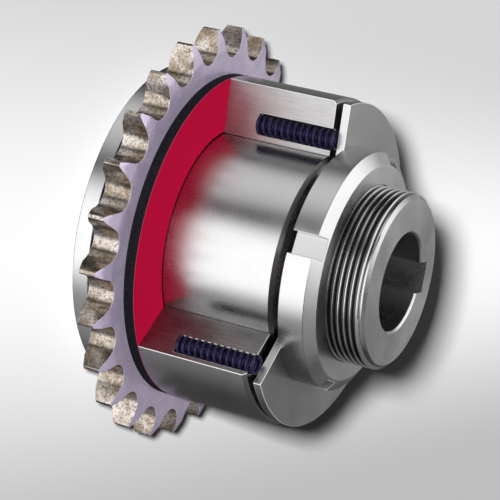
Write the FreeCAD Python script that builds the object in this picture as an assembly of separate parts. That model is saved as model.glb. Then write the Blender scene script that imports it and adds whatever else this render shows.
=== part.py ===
import FreeCAD, Part
import math
import os
from FreeCAD import Vector

# Torque limiter for a roller chain drive, shown as a cut-away model.
# A chain sprocket turns on a bush and is clamped between two friction rings.
# Springs in a sliding housing press the stack against the flange of the hub.
# The nut on the threaded end sets the spring load through a thin plate.
# The axis is +Z, the hub stands on the rear face of its flange at z = 0.

os.makedirs("parts", exist_ok=True)

# Driving sizes of the stack, from the flange upwards, in millimetres
pack_radius = 42.0
flange_thickness = 4.6
lining_thickness = 2.8
housing_length = 29.6
plate_gap = 1.55
plate_thickness = 2.0
plate_radius = 41.5
nut_height = 8.7
nut_radius = 30.5
nut_face_radius = 27.4
nut_bevel_height = 2.05

# Hub
barrel_radius = 28.0
barrel_rise = 0.5
barrel_chamfer = 0.9
thread_radius = 22.5
threaded_length = 22.2
thread_end_chamfer = 1.45
bore_radius = 12.5
bore_chamfer = 0.5
keyway_width = 8.0
keyway_depth = 3.3
keyway_angle = 100.5

# Sprocket for a chain of 12.7 mm pitch
chain_pitch = 12.7
roller_diameter = 8.51
tooth_count = 25
tooth_width = 7.2
tip_width = 4.4
tip_height = 3.05
seat_share = 0.505
seat_clearance = 0.05
seat_half_angle = 68.0
flank_radius = 26.0
side_radius = 12.7
bush_wall = 3.0
bush_end_gap = 0.2
first_tooth_angle = 258.2

# Spring housing
pocket_count = 16
pocket_radius = 2.7
pocket_floor = 9.3
pocket_inner_wall = 1.6
pocket_outer_wall = 1.3
outer_row_turn = 2.1
housing_chamfer = 0.8
window_centre = 258.0
window_steps = 5
upper_face_turn = -6.0
lower_face_turn = 5.0

# Springs
spring_clearance = 0.2
wire_diameter = 0.95
spring_turns = 13.5
closed_coil_gap = 0.03
steps_per_turn = 7
wire_sides = 5
sleeve_sides = 12

# Pressure plate window
plate_upper_offset = 0.4
plate_lower_offset = 3.4
plate_upper_turn = -8.0
plate_lower_turn = 6.0

# Drive keys between hub and spring housing
drive_key_width = 6.0
drive_key_height = 6.0
drive_key_length = 20.0
drive_key_seat = 3.5
drive_key_end_gap = 1.0

# Nut slots
nut_slot_count = 4
nut_slot_width = 5.5
nut_slot_depth = 2.7
nut_slot_angle = 263.9

# Clearances
running_gap = 0.05
sliding_gap = 0.05
lining_bore_gap = 0.3
key_top_gap = 0.2
key_side_gap = 0.05
overshoot = 5.0

# Heights of the stack
flange_top = flange_thickness
sprocket_bottom = flange_top + lining_thickness
sprocket_top = sprocket_bottom + tooth_width
housing_bottom = sprocket_top + lining_thickness
housing_top = housing_bottom + housing_length
plate_bottom = housing_top + plate_gap
nut_bottom = plate_bottom + plate_thickness
hub_top = housing_top + threaded_length
barrel_top = housing_top + barrel_rise

# Sprocket circles
pitch_radius = chain_pitch / (2 * math.sin(math.pi / tooth_count))
seat_radius = seat_share * roller_diameter + seat_clearance
tip_radius = pitch_radius + tip_height
sprocket_bore = barrel_radius + running_gap + bush_wall

# Two rows of spring pockets, one near the barrel and one near the rim
inner_row_radius = barrel_radius + pocket_inner_wall + pocket_radius
outer_row_radius = pack_radius - pocket_outer_wall - pocket_radius
spring_radius = pocket_radius - spring_clearance
spring_bottom = housing_bottom + pocket_floor

# Window limits in the housing, on the pockets at its two cut faces
pocket_step = 360.0 / pocket_count
upper_pocket_angle = window_centre - window_steps * pocket_step / 2
lower_pocket_angle = window_centre + window_steps * pocket_step / 2 + outer_row_turn
pockets_left = pocket_count - window_steps + 1
far_out = 2 * pack_radius


def polar(radius, angle, z=0.0):
    """Point at a radius and an angle in degrees."""
    turn = math.radians(angle)
    return Vector(radius * math.cos(turn), radius * math.sin(turn), z)


def revolved(profile):
    """Solid of revolution about Z from radius and height pairs."""
    points = [Vector(radius, 0, height) for radius, height in profile]
    face = Part.Face(Part.makePolygon(points + points[:1]))
    return face.revolve(Vector(0, 0, 0), Vector(0, 0, 1), 360)


def prism(points, bottom, top):
    """Upright prism over a closed outline."""
    outline = [Vector(p.x, p.y, bottom) for p in points]
    face = Part.Face(Part.makePolygon(outline + outline[:1]))
    return face.extrude(Vector(0, 0, top - bottom))


def turned(shape, angle):
    """Copy of a shape, turned about Z."""
    copy = shape.copy()
    copy.rotate(Vector(0, 0, 0), Vector(0, 0, 1), angle)
    return copy


def ring(inner, outer, bottom, top):
    """Flat ring or sleeve."""
    return revolved([(inner, bottom), (outer, bottom), (outer, top), (inner, top)])


def bar(floor, ceiling, width, bottom, top):
    """Upright bar on the +X side, from one radius to another."""
    half = width / 2
    outline = [Vector(floor, -half), Vector(ceiling, -half), Vector(ceiling, half), Vector(floor, half)]
    return prism(outline, bottom, top)


def one_solid(shape):
    """The single solid that a cut or a fusion leaves."""
    return shape.removeSplitter().Solids[0]


def save(name, shape):
    """Write one node to its STEP file."""
    shape.exportStep("parts/" + name + ".step")
    print(name, round(shape.Volume, 1), shape.isValid(), len(shape.Solids))


# Hub


def keyway():
    """Keyway along the whole bore."""
    blank = bar(0, bore_radius + keyway_depth, keyway_width, -overshoot, hub_top + overshoot)
    return turned(blank, keyway_angle)


drive_key_top = housing_top - drive_key_end_gap
drive_key_bottom = drive_key_top - drive_key_length
drive_key_floor = barrel_radius - drive_key_seat
drive_key_angles = [upper_pocket_angle - pocket_step, upper_pocket_angle - pocket_step + 180]


def drive_key(angle):
    """Square-ended key in its seat on the hub."""
    outside = drive_key_floor + drive_key_height
    blank = bar(drive_key_floor, outside, drive_key_width, drive_key_bottom, drive_key_top)
    return turned(blank, angle)


def drive_key_seat_cut(angle):
    """Seat that is milled in from the barrel's end."""
    outside = barrel_radius + overshoot
    blank = bar(drive_key_floor, outside, drive_key_width, drive_key_bottom, barrel_top)
    return turned(blank, angle)


def hub():
    """Flange, barrel and threaded end in one piece, with bore and key seats."""
    body = revolved([
        (bore_radius, 0),
        (pack_radius, 0),
        (pack_radius, flange_top),
        (barrel_radius, flange_top),
        (barrel_radius, barrel_top - barrel_chamfer),
        (barrel_radius - barrel_chamfer, barrel_top),
        (thread_radius, barrel_top),
        (thread_radius, hub_top - thread_end_chamfer),
        (thread_radius - thread_end_chamfer, hub_top),
        (bore_radius + bore_chamfer, hub_top),
        (bore_radius, hub_top - bore_chamfer),
    ])
    seats = [drive_key_seat_cut(angle) for angle in drive_key_angles]
    return one_solid(body.cut([keyway()] + seats))


# Sprocket


def tooth_gap():
    """Space between two teeth: a roller seat that runs into two convex flanks."""
    centre = Vector(pitch_radius, 0, 0)
    outer = tip_radius + overshoot

    def on_seat(angle):
        return centre + polar(seat_radius, angle)

    def flank(side):
        angle = 180 - side * seat_half_angle
        start = on_seat(angle)
        middle = centre + polar(seat_radius + flank_radius, angle)
        # The flank leaves the seat in line with it and bends away outwards
        distance = middle.Length
        cosine = (distance**2 + outer**2 - flank_radius**2) / (2 * distance * outer)
        bearing = math.degrees(math.atan2(middle.y, middle.x))
        end = polar(outer, bearing - side * math.degrees(math.acos(cosine)))
        half_way = (start + end) * 0.5 - middle
        bulge = middle + half_way * (flank_radius / half_way.Length)
        return Part.Arc(start, bulge, end).toShape(), start, end

    upper, upper_start, upper_end = flank(1)
    lower, lower_start, lower_end = flank(-1)
    seat = Part.Arc(upper_start, on_seat(180), lower_start).toShape()
    lid = Part.LineSegment(lower_end, upper_end).toShape()
    wire = Part.Wire(Part.__sortEdges__([upper, seat, lower, lid]))
    face = Part.Face(wire)
    face.translate(Vector(0, 0, sprocket_bottom - overshoot))
    return face.extrude(Vector(0, 0, tooth_width + 2 * overshoot))


def sprocket():
    """Chain wheel whose teeth lean in to the tip along a large side radius, taken in two steps."""
    relief = (tooth_width - tip_width) / 2
    reach = math.sqrt(2 * side_radius * relief - relief**2)
    half_reach = reach / 2
    half_relief = side_radius - math.sqrt(side_radius**2 - half_reach**2)
    blank = revolved([
        (sprocket_bore, sprocket_bottom),
        (tip_radius - reach, sprocket_bottom),
        (tip_radius - half_reach, sprocket_bottom + half_relief),
        (tip_radius, sprocket_bottom + relief),
        (tip_radius, sprocket_top - relief),
        (tip_radius - half_reach, sprocket_top - half_relief),
        (tip_radius - reach, sprocket_top),
        (sprocket_bore, sprocket_top),
    ])
    gap = tooth_gap()
    step = 360.0 / tooth_count
    gaps = [turned(gap, first_tooth_angle + (i + 0.5) * step) for i in range(tooth_count)]
    return one_solid(blank.cut(gaps))


# Spring housing


def pocket_place(index):
    """Angle and radius of a spring pocket, counted from the upper cut face."""
    angle = upper_pocket_angle - index * pocket_step
    if index % 2 == 0:
        return angle, inner_row_radius
    return angle + outer_row_turn, outer_row_radius


def pocket(index):
    """Blind pocket with a flat floor for the spring."""
    angle, row = pocket_place(index)
    depth = housing_top + overshoot - spring_bottom
    return Part.makeCylinder(pocket_radius, depth, polar(row, angle, spring_bottom))


def face_line(point, bearing):
    """A point on a cut face far outside, and one near the axis."""
    outward = polar(1, bearing)
    return point + outward * far_out, point - outward * pack_radius


def crossing(a, b, c, d):
    """Where the line through a and b meets the line through c and d."""
    ab = b - a
    cd = d - c
    share = ((c.x - a.x) * cd.y - (c.y - a.y) * cd.x) / (ab.x * cd.y - ab.y * cd.x)
    return a + ab * share


def sector(upper_point, upper_bearing, lower_point, lower_bearing, bottom, top):
    """Wedge between two upright cut faces."""
    upper_out, upper_in = face_line(upper_point, upper_bearing)
    lower_out, lower_in = face_line(lower_point, lower_bearing)
    apex = crossing(upper_out, upper_in, lower_out, lower_in)
    middle = polar(2 * far_out, (upper_bearing + lower_bearing) / 2)
    return prism([apex, upper_out, middle, lower_out], bottom, top)


def housing_window():
    """Wedge that is cut away, with a pocket's axis in each of its faces."""
    upper_row = pocket_place(0)[1]
    lower_row = pocket_place(pockets_left - 1)[1]
    return sector(
        polar(upper_row, upper_pocket_angle),
        upper_pocket_angle + upper_face_turn,
        polar(lower_row, lower_pocket_angle),
        lower_pocket_angle + lower_face_turn,
        housing_bottom - overshoot,
        housing_top + overshoot,
    )


def spring_housing():
    """Thick ring with spring pockets, drive grooves and the cut-away window."""
    bore = barrel_radius + sliding_gap
    body = revolved([
        (bore, housing_bottom),
        (pack_radius, housing_bottom),
        (pack_radius, housing_top - housing_chamfer),
        (pack_radius - housing_chamfer, housing_top),
        (bore, housing_top),
    ])
    pockets = [pocket(i) for i in range(pockets_left)]
    groove_floor = drive_key_floor + drive_key_height + key_top_gap
    groove_width = drive_key_width + 2 * key_side_gap
    groove = bar(0, groove_floor, groove_width, housing_bottom - overshoot, housing_top + overshoot)
    grooves = [turned(groove, angle) for angle in drive_key_angles]
    return one_solid(body.cut(pockets + grooves + [housing_window()]))


# Springs


def coil_height(turn):
    """Height of the wire's middle over the pocket's floor, with one closed turn at each end."""
    length = plate_bottom - spring_bottom
    closed_pitch = wire_diameter + closed_coil_gap
    open_pitch = (length - 2 * closed_pitch) / (spring_turns - 2)
    if turn < 1:
        return turn * closed_pitch
    if turn > spring_turns - 1:
        return length - (spring_turns - turn) * closed_pitch
    return closed_pitch + (turn - 1) * open_pitch


def coil_spring():
    """Wire swept along a helix of short straight steps, its ends ground flat."""
    path_radius = spring_radius - wire_diameter / 2
    steps = round(spring_turns * steps_per_turn)
    turns = [i / steps_per_turn for i in range(steps + 1)]
    points = [polar(path_radius, 360 * turn, spring_bottom + coil_height(turn)) for turn in turns]
    along = (points[1] - points[0]).normalize()
    outward = Vector(1, 0, 0)
    upward = along.cross(outward).normalize()
    corners = []
    for i in range(wire_sides):
        corner = polar(wire_diameter / 2, 360 * (i + 0.5) / wire_sides)
        corners.append(points[0] + outward * corner.x + upward * corner.y)
    section = Part.makePolygon(corners + corners[:1])
    mitred = 1
    wire = Part.makePolygon(points).makePipeShell([section], True, False, mitred)
    between = Part.makeCylinder(2 * spring_radius, plate_bottom - spring_bottom, Vector(0, 0, spring_bottom))
    return one_solid(wire.common(between))


def sleeve_spring():
    """Plain sleeve in place of a spring that a closed pocket hides, to keep the facets few."""
    outline = [polar(spring_radius, 360 * i / sleeve_sides) for i in range(sleeve_sides)]
    hole = [polar(spring_radius - wire_diameter, 360 * i / sleeve_sides) for i in range(sleeve_sides)]
    body = prism(outline, spring_bottom, plate_bottom)
    return one_solid(body.cut(prism(hole, spring_bottom - overshoot, plate_bottom + overshoot)))


def spring(index):
    """Compression spring between a pocket's floor and the plate, with its coils where the cut shows them."""
    angle, row = pocket_place(index)
    in_view = index in (0, pockets_left - 1)
    body = coil_spring() if in_view else sleeve_spring()
    body.translate(polar(row, angle))
    return body


# Plate and nut


def pressure_plate():
    """Thin ring on the threaded end, cut away in line with the housing."""
    body = ring(thread_radius + sliding_gap, plate_radius, plate_bottom, nut_bottom)
    upper_angle = upper_pocket_angle - plate_upper_offset
    lower_angle = lower_pocket_angle + plate_lower_offset
    window = sector(
        polar(pocket_place(0)[1], upper_angle),
        upper_angle + plate_upper_turn,
        polar(pocket_place(pockets_left - 1)[1], lower_angle),
        lower_angle + plate_lower_turn,
        plate_bottom - overshoot,
        nut_bottom + overshoot,
    )
    return one_solid(body.cut(window))


def adjusting_nut():
    """Round nut with a bevelled front and slots for a hook spanner."""
    top = nut_bottom + nut_height
    bore = thread_radius + running_gap
    body = revolved([
        (bore, nut_bottom),
        (nut_radius, nut_bottom),
        (nut_radius, top - nut_bevel_height),
        (nut_face_radius, top),
        (bore, top),
    ])
    slot_floor = nut_radius - nut_slot_depth
    slot = bar(slot_floor, far_out, nut_slot_width, nut_bottom - overshoot, top + overshoot)
    step = 360.0 / nut_slot_count
    slots = [turned(slot, nut_slot_angle + i * step) for i in range(nut_slot_count)]
    return one_solid(body.cut(slots))


# Friction rings and bush


def lining(bottom):
    """Flat friction ring."""
    return ring(barrel_radius + lining_bore_gap, pack_radius, bottom, bottom + lining_thickness)


def sprocket_bush():
    """Plain bush between the hub and the sprocket."""
    bottom = sprocket_bottom + bush_end_gap
    return ring(barrel_radius + running_gap, sprocket_bore, bottom, sprocket_top - bush_end_gap)


save("hub", hub())
save("rear_lining", lining(flange_top))
save("sprocket_bush", sprocket_bush())
save("sprocket", sprocket())
save("front_lining", lining(sprocket_top))
save("spring_housing", spring_housing())
for i, key_angle in enumerate(drive_key_angles):
    save("drive_key_" + str(i + 1), drive_key(key_angle))
for i in range(pockets_left):
    save("spring_" + str(i + 1).zfill(2), spring(i))
save("pressure_plate", pressure_plate())
save("adjusting_nut", adjusting_nut())
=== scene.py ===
import math

import bmesh
import bpy
from mathutils import Matrix, Vector


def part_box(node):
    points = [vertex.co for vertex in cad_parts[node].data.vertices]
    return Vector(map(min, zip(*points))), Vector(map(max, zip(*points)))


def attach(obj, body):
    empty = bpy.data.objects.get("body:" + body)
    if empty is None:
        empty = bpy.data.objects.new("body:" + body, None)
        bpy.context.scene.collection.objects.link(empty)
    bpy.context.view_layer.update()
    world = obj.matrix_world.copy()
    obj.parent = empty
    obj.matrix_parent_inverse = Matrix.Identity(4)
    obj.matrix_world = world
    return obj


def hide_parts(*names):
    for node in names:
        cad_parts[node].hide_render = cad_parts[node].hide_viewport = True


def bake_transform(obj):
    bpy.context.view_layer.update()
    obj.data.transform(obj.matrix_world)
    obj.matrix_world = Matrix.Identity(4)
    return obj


# Looks of a cut-away torque limiter: turned steel, a chain sprocket with
# stained tooth gaps, a crimson lining face and violet springs.

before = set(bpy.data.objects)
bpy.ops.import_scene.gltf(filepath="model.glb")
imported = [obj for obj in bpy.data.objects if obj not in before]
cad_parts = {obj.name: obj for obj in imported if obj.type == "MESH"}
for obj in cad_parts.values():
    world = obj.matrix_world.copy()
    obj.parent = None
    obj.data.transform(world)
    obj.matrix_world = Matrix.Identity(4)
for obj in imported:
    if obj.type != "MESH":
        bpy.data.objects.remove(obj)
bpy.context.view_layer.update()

MM = 0.001

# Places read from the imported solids
PACK_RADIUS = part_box("front_lining")[1].x
FLANGE_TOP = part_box("rear_lining")[0].z
HOUSING_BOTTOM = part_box("spring_housing")[0].z
HOUSING_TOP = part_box("spring_housing")[1].z
HUB_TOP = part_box("hub")[1].z

# Sizes that the solids share with this scene, in metres and degrees
FLANGE_EDGE = 0.25 * MM
BARREL_RADIUS = 28.0 * MM
BARREL_TOP = HOUSING_TOP + 0.5 * MM
BARREL_CHAMFER = 0.9 * MM
BORE_RADIUS = 12.5 * MM
BORE_CHAMFER = 0.5 * MM
KEYWAY_WIDTH = 8.0 * MM
KEYWAY_DEPTH = 3.3 * MM
KEYWAY_ANGLE = 100.5
KEY_WIDTH = 6.0 * MM
KEY_FLOOR = 24.5 * MM
KEY_ANGLES = (179.25, 359.25)

# Hub's thread, which the solids leave plain: its crests stand as the photograph shows them
THREAD_RADIUS = 22.5 * MM
THREAD_PITCH = 1.6 * MM
THREAD_DEPTH = 0.98 * MM
THREAD_START = HOUSING_TOP - THREAD_PITCH - 0.25 * MM
THREAD_CREST = 0.14
THREAD_FLANK = 0.31
THREAD_COLUMNS = 144
# Length over which the thread runs out, and how far below its crests the hub's core lies
THREAD_RUN = 1.45 * MM
THREAD_SKIN = 0.05 * MM

# Springs
SPRINGS = 12
SPRING_RADIUS = 2.5 * MM
SPRING_TURNS = 13.5
SPRING_STEPS = 28
WIRE = 0.95 * MM
WIRE_SIDES = 10

# Fineness of the turned pieces, and how edges are found, broken and painted
SEGMENTS = 240
MERGE = 1e-6
JOINED_ANGLE = 0.3
EDGE_ANGLE = 28.0
EDGE_SEGMENTS = 2
# Edge faces with a side shorter than this, farther out than this radius, get a painted highlight
BRIGHT_EDGE = 0.13 * MM
BRIGHT_EDGE_RADIUS = BARREL_RADIUS + 2 * MM
LINING_EDGE_RADIUS = BARREL_RADIUS + 5 * MM
LEVEL = 0.95

# Photograph's view: a camera 24 degrees above the horizon, rolled on its side
PHOTO_SIZE = 500
FOCAL_PIXELS = 2155.1
SENSOR_WIDTH = 36.0
CLIP_START = 0.01
CAMERA_PLACE = (1.17 * MM, -500.6 * MM, 252.6 * MM)
CAMERA_TILT = 65.78
CAMERA_ROLL = 103.97

# Lamp beside the camera, whose light alone casts the shadow, and a card that only the steel mirrors
LAMP_AIM = (0, 0, 0.03)
SHADOW_LAMP_PLACE = (-12 * MM, -515 * MM, 234 * MM)
SHADOW_LAMP_SIZE = 0.026
SHADOW_LAMP_POWER = 25.3
CARD_PLACE = (-0.125, 0.21, 0.15)
CARD_SIZE = 0.21
CARD_POWER = 0.04

# World: bright patches for the steel to mirror, as azimuth, elevation, inner and outer angle, and strength
PATCHES = (
    (287, -22, 19, 42, 2.2),
    (345, -24, 0, 42, 0.4),
    (204, -24, 4, 31, 1.15),
    (240, -24, 0, 22, 0.15),
    (108, -14, 0, 30, 0.2),
    (155, 62, 14, 52, 2.0),
    (20, 60, 0, 34, 0.35),
    (88, 32, 6, 40, 0.26),
    (262, 32, 8, 34, 1.6),
)
EVEN_GLOSS = 0.09
EVEN_LIGHT = 0.036
BACKDROP = 0.6

# Floor: its reach, what the lamp and the world bring to it, and its white band between two greyer sides
FLOOR_REACH = 6.0
FLOOR_NEAR = -0.42
FLOOR_DROP = 0.02 * MM
FLOOR_LAMP = 2.6
FLOOR_AMBIENT = 0.028
FLOOR_BAND = 7.5 * MM
FLOOR_BAND_SLOPE = 0.1
FLOOR_LEFT_WIDTH = 0.070
FLOOR_LEFT_DROP = 0.31
FLOOR_RIGHT_WIDTH = 0.083
FLOOR_RIGHT_DROP = 0.47


# Mesh helpers


def polar(radius, angle, z=0.0):
    """Point at a radius and an angle in degrees."""
    turn = math.radians(angle)
    return Vector((radius * math.cos(turn), radius * math.sin(turn), z))


def upright_bar(floor, ceiling, width, bottom, top, angle):
    """Upright bar from one distance to another off the axis, at an angle."""
    turn = Matrix.Rotation(math.radians(angle), 3, "Z")
    half = width / 2
    corners = [(floor, -half), (ceiling, -half), (ceiling, half), (floor, half)]
    return prism("bar", [turn @ Vector((x, y, 0)) for x, y in corners], bottom, top)


def new_piece(name, vertices, faces):
    """Mesh object from points and faces, with its normals outwards."""
    mesh = bpy.data.meshes.new(name)
    mesh.from_pydata([tuple(v) for v in vertices], [], faces)
    work = bmesh.new()
    work.from_mesh(mesh)
    bmesh.ops.recalc_face_normals(work, faces=work.faces)
    work.to_mesh(mesh)
    work.free()
    piece = bpy.data.objects.new(name, mesh)
    bpy.context.scene.collection.objects.link(piece)
    return piece


def lathe(name, profile):
    """Closed profile of radius and height pairs, turned about Z."""
    vertices = []
    for i in range(SEGMENTS):
        for radius, height in profile:
            vertices.append(polar(radius, 360.0 * i / SEGMENTS, height))
    count = len(profile)
    faces = []
    for i in range(SEGMENTS):
        here = i * count
        there = (i + 1) % SEGMENTS * count
        for k in range(count):
            after = (k + 1) % count
            faces.append((here + k, there + k, there + after, here + after))
    return new_piece(name, vertices, faces)


def prism(name, points, bottom, top):
    """Upright prism over a closed outline."""
    count = len(points)
    vertices = [Vector((p.x, p.y, height)) for height in (bottom, top) for p in points]
    faces = [tuple(reversed(range(count))), tuple(range(count, 2 * count))]
    for k in range(count):
        after = (k + 1) % count
        faces.append((k, after, count + after, count + k))
    return new_piece(name, vertices, faces)


def settle(piece):
    """Applies a piece's modifiers to its mesh."""
    bpy.context.view_layer.update()
    evaluated = piece.evaluated_get(bpy.context.evaluated_depsgraph_get())
    mesh = bpy.data.meshes.new_from_object(evaluated)
    piece.modifiers.clear()
    piece.data = mesh


def cut(piece, cutters):
    """Takes the cutters away from a piece, one after another."""
    for cutter in cutters:
        step = piece.modifiers.new("cut", "BOOLEAN")
        step.operation = "DIFFERENCE"
        step.solver = "EXACT"
        step.object = cutter
        settle(piece)
        bpy.data.objects.remove(cutter)


def smooth(piece, angle):
    """Smooth shading, except over edges sharper than an angle in degrees."""
    piece.data.shade_smooth()
    piece.data.set_sharp_from_angle(angle=math.radians(angle))


def soften(piece, width):
    """Breaks the sharp edges and smooths the rest."""
    work = bmesh.new()
    work.from_mesh(piece.data)
    bmesh.ops.remove_doubles(work, verts=work.verts, dist=MERGE)
    bmesh.ops.dissolve_degenerate(work, edges=work.edges, dist=MERGE)
    work.to_mesh(piece.data)
    work.free()
    edge = piece.modifiers.new("edge", "BEVEL")
    edge.limit_method = "ANGLE"
    edge.angle_limit = math.radians(EDGE_ANGLE)
    edge.width = width
    edge.segments = EDGE_SEGMENTS
    edge.use_clamp_overlap = True
    settle(piece)
    smooth(piece, EDGE_ANGLE)
    weigh = piece.modifiers.new("weigh", "WEIGHTED_NORMAL")
    weigh.keep_sharp = True
    settle(piece)


def refined(node, width):
    """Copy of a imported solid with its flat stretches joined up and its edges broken."""
    piece = bpy.data.objects.new(node + "_fine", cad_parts[node].data.copy())
    piece.matrix_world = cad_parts[node].matrix_world.copy()
    bpy.context.scene.collection.objects.link(piece)
    work = bmesh.new()
    work.from_mesh(piece.data)
    bmesh.ops.remove_doubles(work, verts=work.verts, dist=MERGE)
    bmesh.ops.dissolve_limit(work, angle_limit=math.radians(JOINED_ANGLE), verts=work.verts, edges=work.edges)
    work.to_mesh(piece.data)
    work.free()
    soften(piece, width)
    return piece


def paint(piece, material, test):
    """Gives a second material to the faces that a test on their middle and normal picks."""
    piece.data.materials.append(material)
    index = len(piece.data.materials) - 1
    for face in piece.data.polygons:
        if test(face.center, face.normal):
            face.material_index = index


def brighten_edges(piece, bottom):
    """Paints a highlight in paler steel on the broken outer edges above a height: faces with a very short
    side.
    """
    mesh = piece.data
    mesh.materials.append(HIGHLIGHT_EDGE_STEEL)
    index = len(mesh.materials) - 1
    for face in mesh.polygons:
        corners = [mesh.vertices[v].co for v in face.vertices]
        sides = [(a - b).length for a, b in zip(corners, corners[1:] + corners[:1])]
        outer = face.center.z > bottom and face.center.xy.length > BRIGHT_EDGE_RADIUS
        if min(sides) < BRIGHT_EDGE and outer:
            face.material_index = index


def is_level(middle, normal):
    """True on a face that looks up."""
    return normal.z > LEVEL


def is_cut_face(middle, normal):
    """True on an upright flat that doesn't face the axis or away from it."""
    outward = Vector((middle.x, middle.y, 0)).normalized()
    return abs(normal.z) < 0.2 and abs(normal.dot(outward)) < 0.8


def finish_piece(piece, body, slot, material, *nodes):
    """Gives a piece its material and its body, and hides the solids that it stands for."""
    piece.data.materials.clear()
    piece.data.materials.append(material)
    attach(piece, body)
    if nodes:
        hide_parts(*nodes)
    return piece


# Node helpers


def material_of(name):
    """Empty node material with its output."""
    material = bpy.data.materials.new(name)
    material.use_nodes = True
    tree = material.node_tree
    tree.nodes.clear()
    return material, tree


def add(tree, kind, **values):
    """Adds a node and sets its properties."""
    node = tree.nodes.new(kind)
    for key, value in values.items():
        setattr(node, key, value)
    return node


def math_node(tree, operation, first, second=None, third=None):
    """Arithmetic on sockets or numbers."""
    node = add(tree, "ShaderNodeMath", operation=operation)
    for k, value in enumerate((first, second, third)):
        if value is None:
            continue
        if isinstance(value, (int, float)):
            node.inputs[k].default_value = value
        else:
            tree.links.new(value, node.inputs[k])
    return node.outputs[0]


def mix_colour(tree, share, first, second):
    """Mixes two colours, each a socket or a triple."""
    node = add(tree, "ShaderNodeMix", data_type="RGBA")
    for socket, value in ((node.inputs[0], share), (node.inputs[6], first), (node.inputs[7], second)):
        if isinstance(value, tuple):
            socket.default_value = (*value, 1.0)
        elif isinstance(value, (int, float)):
            socket.default_value = value
        else:
            tree.links.new(value, socket)
    return node.outputs[2]


def ramp(tree, value, low, high, out_low=0.0, out_high=1.0):
    """Smooth step from one range to another."""
    node = add(tree, "ShaderNodeMapRange", interpolation_type="SMOOTHSTEP")
    tree.links.new(value, node.inputs[0])
    for k, number in enumerate((low, high, out_low, out_high)):
        node.inputs[k + 1].default_value = number
    return node.outputs[0]


def noise(tree, vector, scale, detail=3.0, roughness=0.55):
    """Noise value on a vector."""
    node = add(tree, "ShaderNodeTexNoise")
    tree.links.new(vector, node.inputs["Vector"])
    node.inputs["Scale"].default_value = scale
    node.inputs["Detail"].default_value = detail
    node.inputs["Roughness"].default_value = roughness
    return node.outputs[0]


def combine(tree, x, y, z):
    """Vector from three numbers."""
    node = add(tree, "ShaderNodeCombineXYZ")
    for value, socket in zip((x, y, z), node.inputs):
        tree.links.new(value, socket)
    return node.outputs[0]


def separate(tree, vector):
    """Three numbers of a vector."""
    node = add(tree, "ShaderNodeSeparateXYZ")
    tree.links.new(vector, node.inputs[0])
    return node.outputs


def place_of(tree):
    """Place on the object."""
    return add(tree, "ShaderNodeTexCoord").outputs["Object"]


def turning_vector(tree):
    """Vector that changes fast with radius and height and slowly round the axis, as tool marks do."""
    place = place_of(tree)
    x, y, z = separate(tree, place)
    square = math_node(tree, "ADD", math_node(tree, "MULTIPLY", x, x), math_node(tree, "MULTIPLY", y, y))
    turn = math_node(tree, "ABSOLUTE", math_node(tree, "ARCTAN2", y, x))
    sweep = math_node(tree, "MULTIPLY", turn, 0.004)
    return combine(tree, math_node(tree, "SQRT", square), z, sweep), place


def shader(tree, **values):
    """Principled shader linked to an output."""
    node = add(tree, "ShaderNodeBsdfPrincipled")
    for name, value in values.items():
        socket = node.inputs[name.replace("_", " ")]
        if isinstance(value, tuple):
            socket.default_value = (*value, 1.0) if len(value) == 3 else value
        elif isinstance(value, (int, float)):
            socket.default_value = value
        else:
            tree.links.new(value, socket)
    output = add(tree, "ShaderNodeOutputMaterial")
    tree.links.new(node.outputs[0], output.inputs["Surface"])
    return node


def bump(tree, height, strength, distance):
    """Normal from a height."""
    node = add(tree, "ShaderNodeBump")
    node.inputs["Strength"].default_value = strength
    node.inputs["Distance"].default_value = distance
    tree.links.new(height, node.inputs["Height"])
    return node.outputs[0]


# Materials


def turned_steel(name, colour, roughness, grain, lines, anisotropic=0.45):
    """Turned steel: fine circular tool marks, a speckled satin grain and slight stains."""
    material, tree = material_of(name)
    vector, place = turning_vector(tree)
    marks = noise(tree, vector, 9000.0, 4.0, 0.6)
    speckle = noise(tree, place, 2600.0, 3.0, 0.7)
    stain = noise(tree, place, 70.0, 4.0, 0.6)
    tone = math_node(tree, "MULTIPLY_ADD", speckle, grain, 1.0 - grain * 0.5)
    tone = math_node(tree, "MULTIPLY", tone, ramp(tree, stain, 0.35, 0.65, 0.93, 1.03))
    grey = add(tree, "ShaderNodeVectorMath", operation="SCALE")
    grey.inputs[0].default_value = colour
    tree.links.new(tone, grey.inputs["Scale"])
    rough = ramp(tree, stain, 0.3, 0.7, roughness - 0.03, roughness + 0.05)
    rough = math_node(tree, "MULTIPLY_ADD", speckle, 0.10, math_node(tree, "SUBTRACT", rough, 0.05))
    fine = bump(tree, marks, lines, 0.00002)
    tangent = add(tree, "ShaderNodeTangent", direction_type="RADIAL", axis="Z")
    node = shader(
        tree,
        Base_Color=grey.outputs[0],
        Metallic=1.0,
        Roughness=rough,
        Anisotropic=anisotropic,
        Anisotropic_Rotation=0.25,
        Normal=fine,
    )
    tree.links.new(tangent.outputs[0], node.inputs["Tangent"])
    return material


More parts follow.
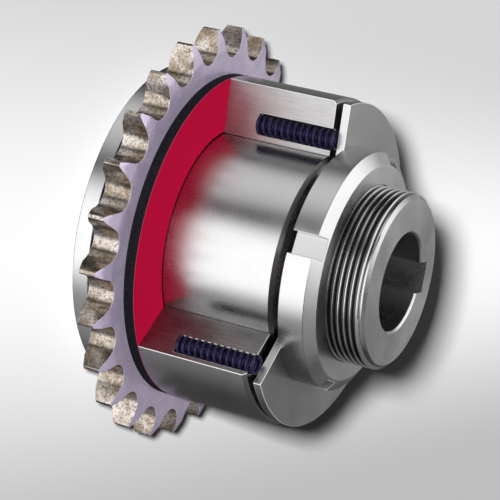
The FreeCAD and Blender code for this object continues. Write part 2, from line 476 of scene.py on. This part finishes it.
def sprocket_steel():
    """Lavender-grey side faces, tooth gaps with a straw and brown stain."""
    material, tree = material_of("sprocket_steel")
    vector, place = turning_vector(tree)
    upright = separate(tree, add(tree, "ShaderNodeNewGeometry").outputs["Normal"])[2]
    level = math_node(tree, "ABSOLUTE", upright)
    flat = ramp(tree, level, 0.15, 0.45)
    cloud = noise(tree, place, 190.0, 5.0, 0.65)
    fleck = noise(tree, place, 900.0, 4.0, 0.7)
    speck = noise(tree, place, 1700.0, 3.0, 0.7)
    side = mix_colour(tree, ramp(tree, cloud, 0.35, 0.7), (0.39, 0.335, 0.455), (0.46, 0.40, 0.525))
    side = mix_colour(tree, ramp(tree, fleck, 0.6, 0.75, 0.0, 0.3), side, (0.28, 0.24, 0.32))
    stain = mix_colour(tree, ramp(tree, cloud, 0.36, 0.68), (0.55, 0.50, 0.465), (0.25, 0.195, 0.14))
    stain = mix_colour(tree, ramp(tree, speck, 0.48, 0.6, 0.0, 0.7), stain, (0.10, 0.073, 0.045))
    colour = mix_colour(tree, flat, stain, side)
    marks = noise(tree, vector, 7000.0, 3.0, 0.6)
    height = math_node(tree, "ADD", math_node(tree, "MULTIPLY", marks, 0.4), fleck)
    shader(
        tree,
        Base_Color=colour,
        Metallic=ramp(tree, level, 0.15, 0.45, 1.0, 0.45),
        Roughness=ramp(tree, fleck, 0.3, 0.7, 0.17, 0.31),
        Normal=bump(tree, height, 0.25, 0.00004),
    )
    return material


def lining_black():
    """Black friction material with pale fibres and pores."""
    material, tree = material_of("lining_black")
    place = place_of(tree)
    grain = noise(tree, place, 1500.0, 5.0, 0.7)
    fleck = noise(tree, place, 3500.0, 2.0, 0.5)
    colour = mix_colour(tree, ramp(tree, grain, 0.4, 0.7), (0.003, 0.003, 0.0045), (0.0075, 0.0075, 0.009))
    colour = mix_colour(tree, ramp(tree, fleck, 0.66, 0.74, 0.0, 0.5), colour, (0.03, 0.026, 0.026))
    shader(
        tree,
        Base_Color=colour,
        Roughness=0.7,
        Specular_IOR_Level=0.1,
        Normal=bump(tree, grain, 0.35, 0.00006),
    )
    return material


def lining_red():
    """Crimson paint on the open face of the lining, with a faint weave of the friction material."""
    material, tree = material_of("lining_red")
    place = place_of(tree)
    grain = noise(tree, place, 1400.0, 4.0, 0.65)
    cloud = noise(tree, place, 60.0, 3.0, 0.5)
    colour = mix_colour(tree, ramp(tree, grain, 0.3, 0.7), (0.333, 0.0036, 0.0285), (0.366, 0.0044, 0.033))
    colour = mix_colour(tree, ramp(tree, cloud, 0.3, 0.7, 0.0, 0.25), colour, (0.40, 0.005, 0.033))
    shader(
        tree,
        Base_Color=colour,
        Roughness=0.7,
        Specular_IOR_Level=0.0,
        Normal=bump(tree, grain, 0.2, 0.00004),
    )
    return material


def spring_violet():
    """Violet enamel on spring wire, in soft random clouds of tone."""
    material, tree = material_of("spring_violet")
    place = place_of(tree)
    cloud = noise(tree, place, 700.0, 4.0, 0.6)
    colour = mix_colour(tree, ramp(tree, cloud, 0.35, 0.7), (0.004, 0.0035, 0.015), (0.012, 0.009, 0.036))
    shader(
        tree,
        Base_Color=colour,
        Metallic=0.35,
        Roughness=ramp(tree, cloud, 0.3, 0.7, 0.24, 0.4),
        Normal=bump(tree, cloud, 0.15, 0.00003),
    )
    return material


def lining_edge():
    """Darker line where the lining's open face meets its rim."""
    material, tree = material_of("lining_edge")
    shader(tree, Base_Color=(0.16, 0.03, 0.045), Roughness=0.6)
    return material


def milled_steel(name, darkest, palest):
    """Flat that a saw or a mill left: bright, with fine streaks along the axis and a cloudy sheen. A darker
    pair of tones given to it paints shade on the face.
    """
    material, tree = material_of(name)
    place = place_of(tree)
    stretch = add(tree, "ShaderNodeMapping")
    tree.links.new(place, stretch.inputs["Vector"])
    stretch.inputs["Scale"].default_value = (1.0, 1.0, 0.06)
    streaks = noise(tree, stretch.outputs[0], 2600.0, 4.0, 0.65)
    cloud = noise(tree, place, 120.0, 4.0, 0.6)
    tone = ramp(tree, cloud, 0.3, 0.7, darkest, palest)
    tone = math_node(tree, "ADD", ramp(tree, streaks, 0.3, 0.7, -0.05, 0.05), tone)
    shader(
        tree,
        Base_Color=combine(tree, tone, tone, tone),
        Metallic=1.0,
        Roughness=ramp(tree, cloud, 0.3, 0.7, 0.36, 0.46),
        Normal=bump(tree, streaks, 0.12, 0.00002),
    )
    return material


def bright_edge_steel():
    """Edge that the lathe or the mill broke, in paler steel as a painted highlight."""
    material, tree = material_of("bright_edge_steel")
    shader(tree, Base_Color=(0.74, 0.74, 0.74), Metallic=0.75, Roughness=0.45)
    return material


def bush_bronze():
    """Sintered bronze, seen only from the side."""
    material, tree = material_of("bush_bronze")
    place = place_of(tree)
    grain = noise(tree, place, 1600.0, 4.0, 0.7)
    colour = mix_colour(tree, grain, (0.30, 0.17, 0.07), (0.46, 0.28, 0.12))
    shader(tree, Base_Color=colour, Metallic=0.9, Roughness=0.45, Normal=bump(tree, grain, 0.2, 0.00003))
    return material


HUB_STEEL = turned_steel("hub_steel", (0.60, 0.60, 0.60), 0.27, 0.22, 0.15)
HOUSING_STEEL = turned_steel("housing_steel", (0.52, 0.52, 0.52), 0.33, 0.15, 0.2)
PLATE_STEEL = turned_steel("plate_steel", (0.58, 0.58, 0.58), 0.34, 0.15, 0.25)
NUT_STEEL = turned_steel("nut_steel", (0.62, 0.62, 0.62), 0.29, 0.12, 0.2)
THREAD_STEEL = turned_steel("thread_steel", (0.56, 0.56, 0.56), 0.25, 0.10, 0.1, 0.0)
KEY_STEEL = turned_steel("key_steel", (0.45, 0.45, 0.46), 0.35, 0.10, 0.1, 0.0)
# Darker steel for the thread's roots: painted shade in the grooves
THREAD_ROOT_SHADE_STEEL = turned_steel("thread_root_shade_steel", (0.13, 0.13, 0.13), 0.4, 0.10, 0.1, 0.0)
# Darker steel for the barrel's end chamfer: painted shade
CHAMFER_SHADE_STEEL = turned_steel("chamfer_shade_steel", (0.20, 0.20, 0.20), 0.4, 0.10, 0.1, 0.0)
# Darker copy of the plate's steel for its faces that look up: painted shade
PLATE_FACE_SHADE_STEEL = turned_steel("plate_face_shade_steel", (0.38, 0.38, 0.38), 0.34, 0.15, 0.25)
# One milled finish for both cut faces of the housing; the lower one is painted darker, as shade
UPPER_CUT_STEEL = milled_steel("upper_cut_steel", 0.42, 0.52)
LOWER_CUT_SHADE_STEEL = milled_steel("lower_cut_shade_steel", 0.22, 0.30)
# Paler steel on broken edges: a painted highlight
HIGHLIGHT_EDGE_STEEL = bright_edge_steel()
BUSH_BRONZE = bush_bronze()
LINING_EDGE = lining_edge()
SPROCKET_STEEL = sprocket_steel()
LINING_BLACK = lining_black()
LINING_RED = lining_red()
SPRING_VIOLET = spring_violet()


# Thread and springs


def thread_sleeve():
    """Threaded skin of the hub's end: one helix of crests that runs out at both ends."""
    inner = THREAD_RADIUS - THREAD_RUN
    rim = inner + THREAD_SKIN
    # Shares of one pitch, and how deep the thread is there
    falls = [(THREAD_CREST + THREAD_FLANK * depth, depth) for depth in (0, 0.33, 0.66, 1)]
    rises = [(1.0 - THREAD_FLANK * depth, depth) for depth in (1, 0.66, 0.33)]
    rows = [(share, THREAD_RADIUS - THREAD_DEPTH * depth) for share, depth in [(0.0, 0), *falls, *rises]]
    vertices = []
    known = {}

    def fixed(key, point):
        if key not in known:
            known[key] = len(vertices)
            vertices.append(point)
        return known[key]

    def corner(step, row):
        if row == len(rows):
            step += THREAD_COLUMNS
            row = 0
        share, radius = rows[row]
        z = THREAD_START + THREAD_PITCH * (step / THREAD_COLUMNS + share)
        column = step % THREAD_COLUMNS
        angle = 360.0 * column / THREAD_COLUMNS
        if z <= BARREL_TOP:
            return fixed(("low", column), polar(rim, angle, BARREL_TOP))
        if z >= HUB_TOP:
            return fixed(("high", column), polar(rim, angle, HUB_TOP))
        radius = min(radius, rim + (HUB_TOP - z), rim + (z - BARREL_TOP))
        return fixed((step, row), polar(radius, angle, z))

    def ring(name, column, height):
        angle = 360.0 * column / THREAD_COLUMNS
        return fixed((name, column), polar(inner, angle, height))

    faces = []
    turns = math.ceil((HUB_TOP - THREAD_START) / THREAD_PITCH)
    for step in range(turns * THREAD_COLUMNS):
        for row in range(len(rows)):
            loop = ((step, row), (step + 1, row), (step + 1, row + 1), (step, row + 1))
            unique = tuple(dict.fromkeys(corner(*place) for place in loop))
            if len(unique) >= 3:
                faces.append(unique)
    for column in range(THREAD_COLUMNS):
        pair = (column, (column + 1) % THREAD_COLUMNS)
        low = [known["low", c] for c in pair]
        high = [known["high", c] for c in pair]
        inner_low = [ring("in low", c, BARREL_TOP) for c in pair]
        inner_high = [ring("in high", c, HUB_TOP) for c in pair]
        faces.append((low[0], low[1], inner_low[1], inner_low[0]))
        faces.append((high[1], high[0], inner_high[0], inner_high[1]))
        faces.append((inner_low[0], inner_low[1], inner_high[1], inner_high[0]))
    piece = new_piece("hub_thread", vertices, faces)
    smooth(piece, 35)
    return piece


def coil(name, centre, bottom, top, half):
    """Lower or upper half of a closed spring with ground ends, and the height where the halves meet."""
    length = top - bottom
    last_step = int(SPRING_TURNS * SPRING_STEPS)
    join = (last_step + 1) // 2
    first, last = (0, join) if half == "low" else (join, last_step)

    def height(turn):
        if turn < 1:
            return turn * WIRE
        if turn > SPRING_TURNS - 1:
            return length - (SPRING_TURNS - turn) * WIRE
        return WIRE + (turn - 1) / (SPRING_TURNS - 2) * (length - 2 * WIRE)

    vertices = []
    for i in range(first, last + 1):
        turn = i / SPRING_STEPS
        angle = 360.0 * turn
        middle = polar(SPRING_RADIUS - WIRE / 2, angle, bottom + height(turn))
        for k in range(WIRE_SIDES):
            bend = 2 * math.pi * k / WIRE_SIDES
            point = middle + polar(WIRE / 2 * math.cos(bend), angle, WIRE / 2 * math.sin(bend))
            point.z = min(max(point.z, bottom), top)
            vertices.append(centre + point)
    faces = [tuple(range(WIRE_SIDES))]
    for i in range(last - first):
        here = i * WIRE_SIDES
        there = here + WIRE_SIDES
        for k in range(WIRE_SIDES):
            after = (k + 1) % WIRE_SIDES
            faces.append((here + k, here + after, there + after, there + k))
    faces.append(tuple(reversed(range(there, there + WIRE_SIDES))))
    piece = new_piece(name, vertices, faces)
    smooth(piece, 60)
    return piece, bottom + height(join / SPRING_STEPS)


for number in range(1, SPRINGS + 1):
    node = "spring_" + str(number).zfill(2)
    low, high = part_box(node)
    centre = Vector(((low.x + high.x) / 2, (low.y + high.y) / 2, 0))
    # Each spring is drawn as a lower and an upper half that meet partway up
    for half in ("low", "high"):
        helix, join_height = coil(node + "_coil_" + half, centre, low.z, high.z, half)
        helix.data.materials.append(SPRING_VIOLET)
        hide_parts(node)
        if half == "low":
            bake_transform(helix)
        else:
            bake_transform(helix)

# Hub


def hub_piece():
    """Flange, barrel and core of the threaded end, with bore, keyway and key seats."""
    key_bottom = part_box("drive_key_1")[0].z
    core = THREAD_RADIUS - THREAD_RUN
    piece = lathe("hub_fine", [
        (BORE_RADIUS, 0),
        (PACK_RADIUS - FLANGE_EDGE, 0),
        (PACK_RADIUS, FLANGE_EDGE),
        (PACK_RADIUS, FLANGE_TOP - FLANGE_EDGE),
        (PACK_RADIUS - FLANGE_EDGE, FLANGE_TOP),
        (BARREL_RADIUS, FLANGE_TOP),
        (BARREL_RADIUS, BARREL_TOP - BARREL_CHAMFER),
        (BARREL_RADIUS - BARREL_CHAMFER, BARREL_TOP),
        (core, BARREL_TOP),
        (core, HUB_TOP),
        (BORE_RADIUS + BORE_CHAMFER, HUB_TOP),
        (BORE_RADIUS, HUB_TOP - BORE_CHAMFER),
    ])
    cutters = [upright_bar(0, BORE_RADIUS + KEYWAY_DEPTH, KEYWAY_WIDTH, -MM, HUB_TOP + MM, KEYWAY_ANGLE)]
    for angle in KEY_ANGLES:
        cutters.append(upright_bar(KEY_FLOOR, PACK_RADIUS, KEY_WIDTH, key_bottom, BARREL_TOP + MM, angle))
    cut(piece, cutters)
    soften(piece, 0.12 * MM)
    return piece


def is_barrel_chamfer(middle, normal):
    """True on the chamfer at the barrel's end."""
    height = BARREL_TOP - BARREL_CHAMFER < middle.z < BARREL_TOP
    return height and 0.3 < normal.z < LEVEL and middle.xy.length > BARREL_RADIUS - BARREL_CHAMFER


def is_thread_root(middle, normal):
    """True in the lower half of the thread's depth, short of where it runs out."""
    return middle.xy.length < THREAD_RADIUS - 0.5 * THREAD_DEPTH and middle.z < HUB_TOP - THREAD_RUN


def is_lining_edge(middle, normal):
    """True on the broken outer edge round the lining's open face."""
    return 0.1 < normal.z < LEVEL and middle.xy.length > LINING_EDGE_RADIUS


hub = finish_piece(hub_piece(), "hub", "hub_steel", HUB_STEEL, "hub")
# The barrel's end chamfer gets darker steel, as painted shade
paint(hub, CHAMFER_SHADE_STEEL, is_barrel_chamfer)
thread = finish_piece(thread_sleeve(), "hub", "hub_steel", THREAD_STEEL)
# The lower half of the thread's depth gets darker steel, as painted shade in the grooves
paint(thread, THREAD_ROOT_SHADE_STEEL, is_thread_root)

finish_piece(refined("rear_lining", 0.1 * MM), "hub", "friction_lining", LINING_BLACK, "rear_lining")
lining = finish_piece(
    refined("front_lining", 0.07 * MM), "spring_housing", "friction_lining", LINING_BLACK, "front_lining"
)
paint(lining, LINING_RED, is_level)
paint(lining, LINING_EDGE, is_lining_edge)

finish_piece(refined("sprocket", 0.12 * MM), "sprocket", "sprocket_steel", SPROCKET_STEEL, "sprocket")
finish_piece(refined("sprocket_bush", 0.1 * MM), "sprocket", "bush_bronze", BUSH_BRONZE, "sprocket_bush")

housing = finish_piece(
    refined("spring_housing", 0.15 * MM), "spring_housing", "housing_steel", HOUSING_STEEL, "spring_housing"
)
# Both cut faces are the same milled steel; the lower one gets painted shade
paint(housing, UPPER_CUT_STEEL, lambda middle, normal: is_cut_face(middle, normal) and normal.x > 0)
paint(housing, LOWER_CUT_SHADE_STEEL, lambda middle, normal: is_cut_face(middle, normal) and normal.x <= 0)
# Painted highlight on the housing's broken outer edges
brighten_edges(housing, HOUSING_BOTTOM + MM)
for key in ("drive_key_1", "drive_key_2"):
    finish_piece(refined(key, 0.2 * MM), "hub", "key_steel", KEY_STEEL, key)

plate = finish_piece(
    refined("pressure_plate", 0.15 * MM), "pressure_plate", "plate_steel", PLATE_STEEL, "pressure_plate"
)
# The plate's faces that look up get a darker copy of its steel, as painted shade
paint(plate, PLATE_FACE_SHADE_STEEL, is_level)
# Painted highlight on the plate's broken outer edges
brighten_edges(plate, HOUSING_TOP)
finish_piece(refined("adjusting_nut", 0.15 * MM), "adjusting_nut", "nut_steel", NUT_STEEL, "adjusting_nut")


# Floor, light and camera


def floor():
    """Pale floor with a white band through the part and a greyer tone to either side."""
    # It ends short of the lamp, past which nothing would light it
    near, far = FLOOR_NEAR, FLOOR_REACH
    corners = [Vector((x, y, 0)) for x, y in ((-far, near), (far, near), (far, far), (-far, far))]
    plane = new_piece("floor", corners, [(0, 1, 2, 3)])
    plane.location.z = -FLOOR_DROP
    material, tree = material_of("floor")
    place = add(tree, "ShaderNodeNewGeometry").outputs["Position"]
    x, y = separate(tree, place)[:2]
    across = math_node(tree, "MULTIPLY_ADD", y, FLOOR_BAND_SLOPE, x)
    left = ramp(tree, across, FLOOR_BAND - FLOOR_LEFT_WIDTH, FLOOR_BAND, FLOOR_LEFT_DROP, 0.0)
    right = ramp(tree, across, FLOOR_BAND, FLOOR_BAND + FLOOR_RIGHT_WIDTH, 0.0, FLOOR_RIGHT_DROP)
    tone = math_node(tree, "SUBTRACT", math_node(tree, "SUBTRACT", 1.0, left), right)
    # The lamp's light thins with distance, so the paint pales with it and the floor looks even
    distance = add(tree, "ShaderNodeVectorMath", operation="DISTANCE")
    tree.links.new(place, distance.inputs[0])
    distance.inputs[1].default_value = SHADOW_LAMP_PLACE
    slant = math_node(tree, "DIVIDE", SHADOW_LAMP_PLACE[2], distance.outputs["Value"])
    light = math_node(tree, "MULTIPLY_ADD", slant, FLOOR_LAMP, FLOOR_AMBIENT)
    shade = math_node(tree, "DIVIDE", tone, light)
    diffuse = add(tree, "ShaderNodeBsdfDiffuse")
    tree.links.new(combine(tree, shade, shade, shade), diffuse.inputs[0])
    output = add(tree, "ShaderNodeOutputMaterial")
    tree.links.new(diffuse.outputs[0], output.inputs["Surface"])
    plane.data.materials.append(material)
    plane.visible_glossy = False


def studio():
    """Soft boxes as bright patches of the world, seen in the steel, over an even dim light."""
    world = bpy.data.worlds.new("studio")
    world.use_nodes = True
    bpy.context.scene.world = world
    tree = world.node_tree
    tree.nodes.clear()
    direction = add(tree, "ShaderNodeTexCoord").outputs["Generated"]
    gloss = None
    for azimuth, elevation, inner, outer, strength in PATCHES:
        tilt = math.radians(elevation)
        dot = add(tree, "ShaderNodeVectorMath", operation="DOT_PRODUCT")
        tree.links.new(direction, dot.inputs[0])
        dot.inputs[1].default_value = polar(math.cos(tilt), azimuth, math.sin(tilt))
        edge, full = math.cos(math.radians(outer)), math.cos(math.radians(inner))
        patch = ramp(tree, dot.outputs["Value"], edge, full, 0.0, strength)
        gloss = patch if gloss is None else math_node(tree, "ADD", gloss, patch)
    gloss = math_node(tree, "ADD", gloss, EVEN_GLOSS)
    rays = add(tree, "ShaderNodeLightPath")
    strength = add(tree, "ShaderNodeMix", data_type="FLOAT")
    tree.links.new(rays.outputs["Is Glossy Ray"], strength.inputs[0])
    strength.inputs[2].default_value = EVEN_LIGHT
    tree.links.new(gloss, strength.inputs[3])
    # The camera sees a pale backdrop beyond the floor, which lights nothing
    seen = add(tree, "ShaderNodeMix", data_type="FLOAT")
    tree.links.new(rays.outputs["Is Camera Ray"], seen.inputs[0])
    tree.links.new(strength.outputs[0], seen.inputs[2])
    seen.inputs[3].default_value = BACKDROP
    background = add(tree, "ShaderNodeBackground")
    tree.links.new(seen.outputs[0], background.inputs["Strength"])
    output = add(tree, "ShaderNodeOutputWorld")
    tree.links.new(background.outputs[0], output.inputs["Surface"])


def lamp(name, place, size, power):
    """Square soft lamp aimed at the part's middle."""
    data = bpy.data.lights.new(name, "AREA")
    data.size = size
    data.energy = power
    light = bpy.data.objects.new(name, data)
    light.location = place
    aim = Vector(LAMP_AIM) - Vector(place)
    light.rotation_euler = aim.to_track_quat("-Z", "Y").to_euler()
    bpy.context.scene.collection.objects.link(light)
    return light


def shadow_lamp():
    """Lamp that casts the shadow and keeps its strength over distance."""
    light = lamp("shadow", SHADOW_LAMP_PLACE, SHADOW_LAMP_SIZE, SHADOW_LAMP_POWER)
    light.visible_glossy = False
    light.data.use_nodes = True
    tree = light.data.node_tree
    tree.nodes.clear()
    falloff = add(tree, "ShaderNodeLightFalloff")
    falloff.inputs["Strength"].default_value = 1.0
    glow = add(tree, "ShaderNodeEmission")
    tree.links.new(falloff.outputs["Constant"], glow.inputs["Strength"])
    output = add(tree, "ShaderNodeOutputLight")
    tree.links.new(glow.outputs[0], output.inputs[0])


def card():
    """Bright card that only the steel mirrors."""
    light = lamp("card", CARD_PLACE, CARD_SIZE, CARD_POWER)
    light.visible_diffuse = False
    light.visible_camera = False


def camera():
    """Camera at the photograph's place, rolled as it was."""
    data = bpy.data.cameras.new("camera")
    data.sensor_width = SENSOR_WIDTH
    data.lens = SENSOR_WIDTH * FOCAL_PIXELS / PHOTO_SIZE
    data.clip_start = CLIP_START
    eye = bpy.data.objects.new("camera", data)
    tilt = Matrix.Rotation(math.radians(CAMERA_TILT), 4, "X")
    roll = Matrix.Rotation(math.radians(CAMERA_ROLL), 4, "Z")
    eye.matrix_world = Matrix.Translation(CAMERA_PLACE) @ tilt @ roll
    bpy.context.scene.collection.objects.link(eye)
    bpy.context.scene.camera = eye


floor()
studio()
shadow_lamp()
card()
camera()
bpy.context.scene.view_settings.view_transform = "Standard"
